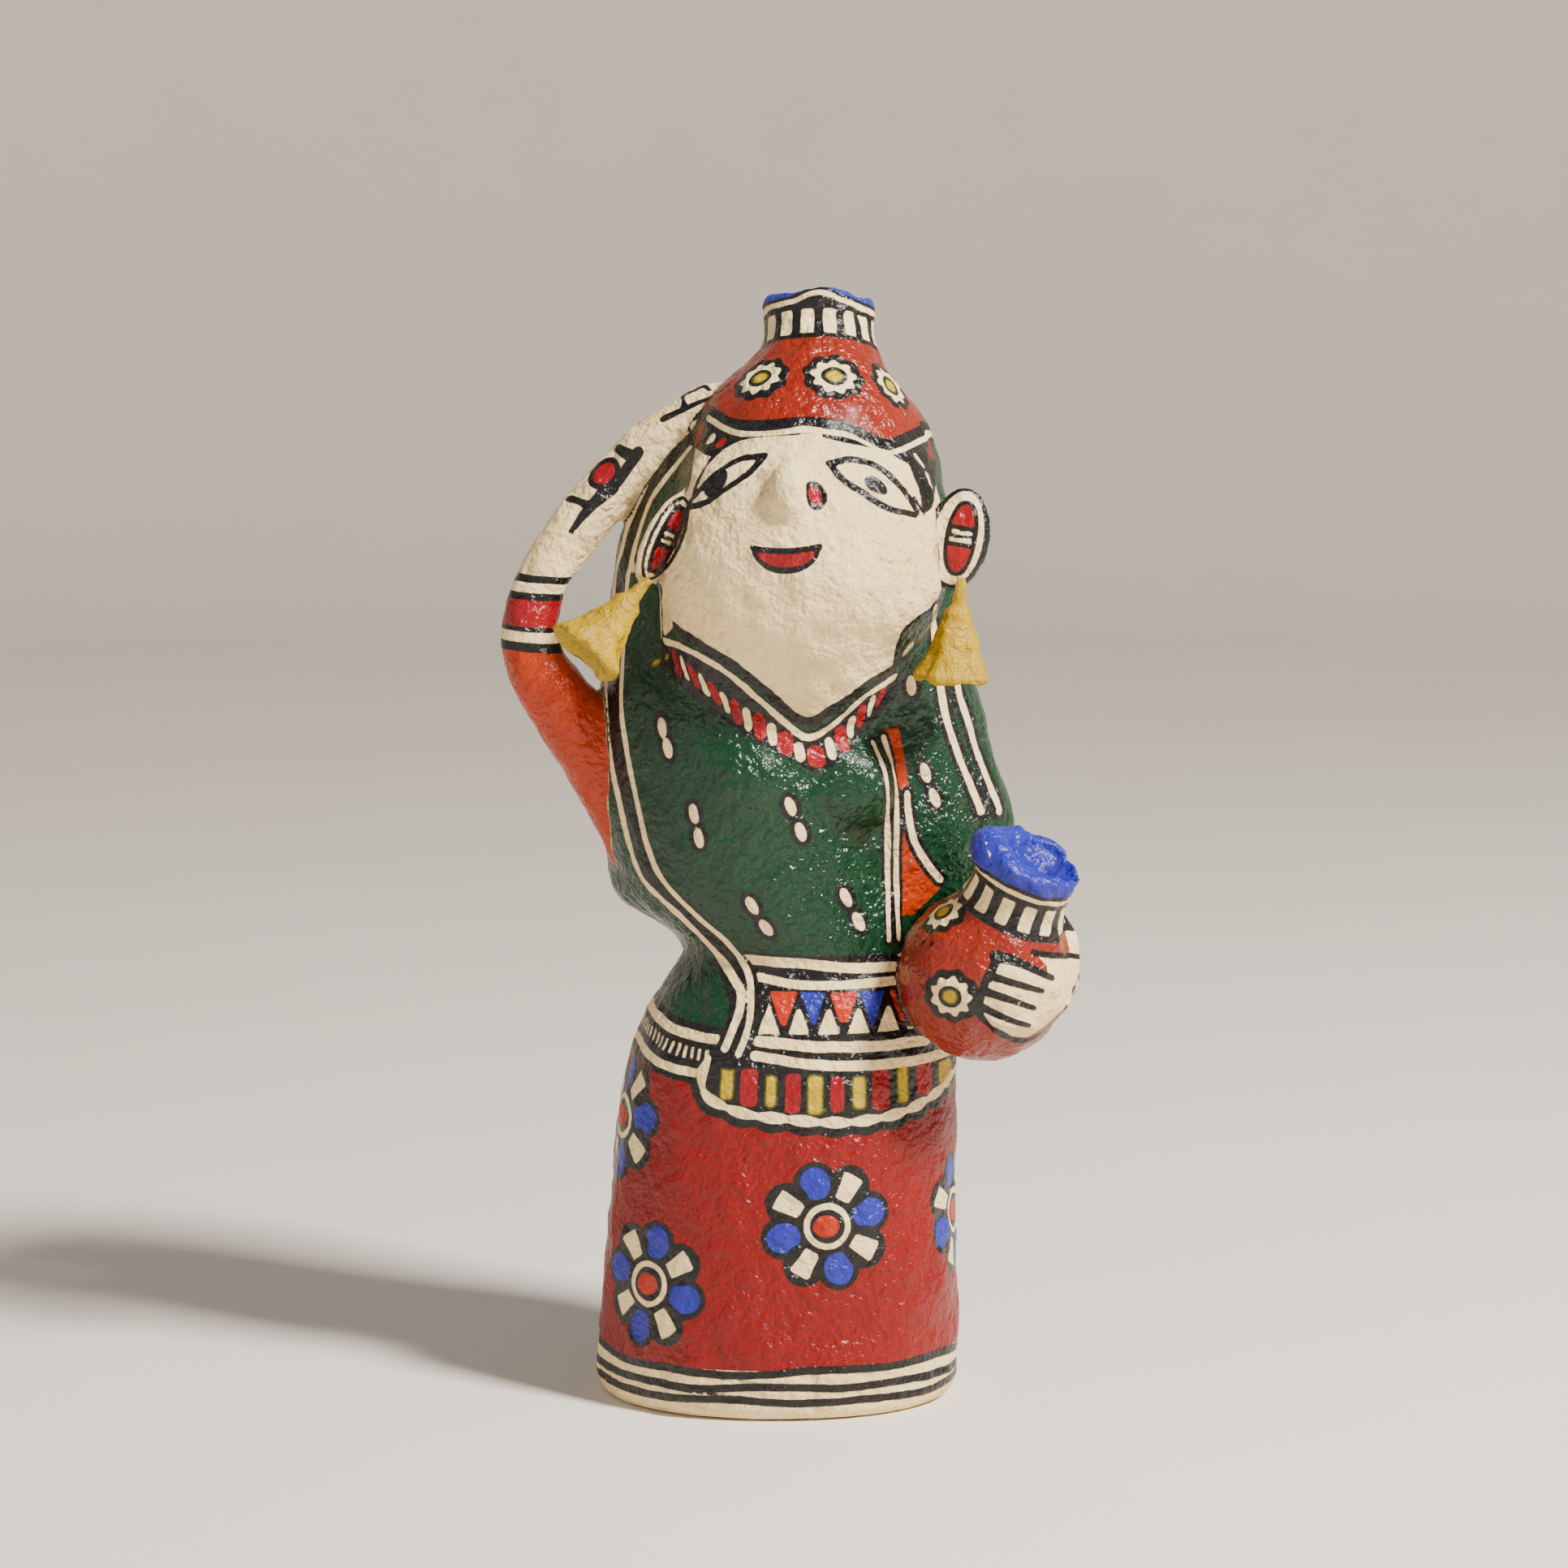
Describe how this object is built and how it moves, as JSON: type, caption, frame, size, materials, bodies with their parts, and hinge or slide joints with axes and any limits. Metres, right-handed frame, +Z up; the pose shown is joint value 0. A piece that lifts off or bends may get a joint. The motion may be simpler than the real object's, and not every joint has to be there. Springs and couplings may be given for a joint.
{
  "type": "papier-mache figure",
  "caption": "Papier-mache figure of a veiled woman in a painted skirt and blouse, one hand raised to the pot on her head, another pot held at her hip, with paper bells hanging from her ears.",
  "frame": {"origin": "middle of the skirt's flat underside, on the surface that the figure stands on", "axes": "+Z up from the foot to the head pot, the face looks along -Y, +X towards the side that holds the hip pot"},
  "size_m": [0.1331, 0.0815, 0.2556],
  "materials": {
    "painted_pulp": "painted cream, red, green, orange, blue and black, varnished",
    "bell_paper": "matte yellow poster paint on twisted paper"
  },
  "bodies": {
    "root": {"figure": "painted_pulp", "ear_bell_raised_arm_side": "bell_paper", "ear_bell_hip_pot_side": "bell_paper"}
  },
  "joints": []
}
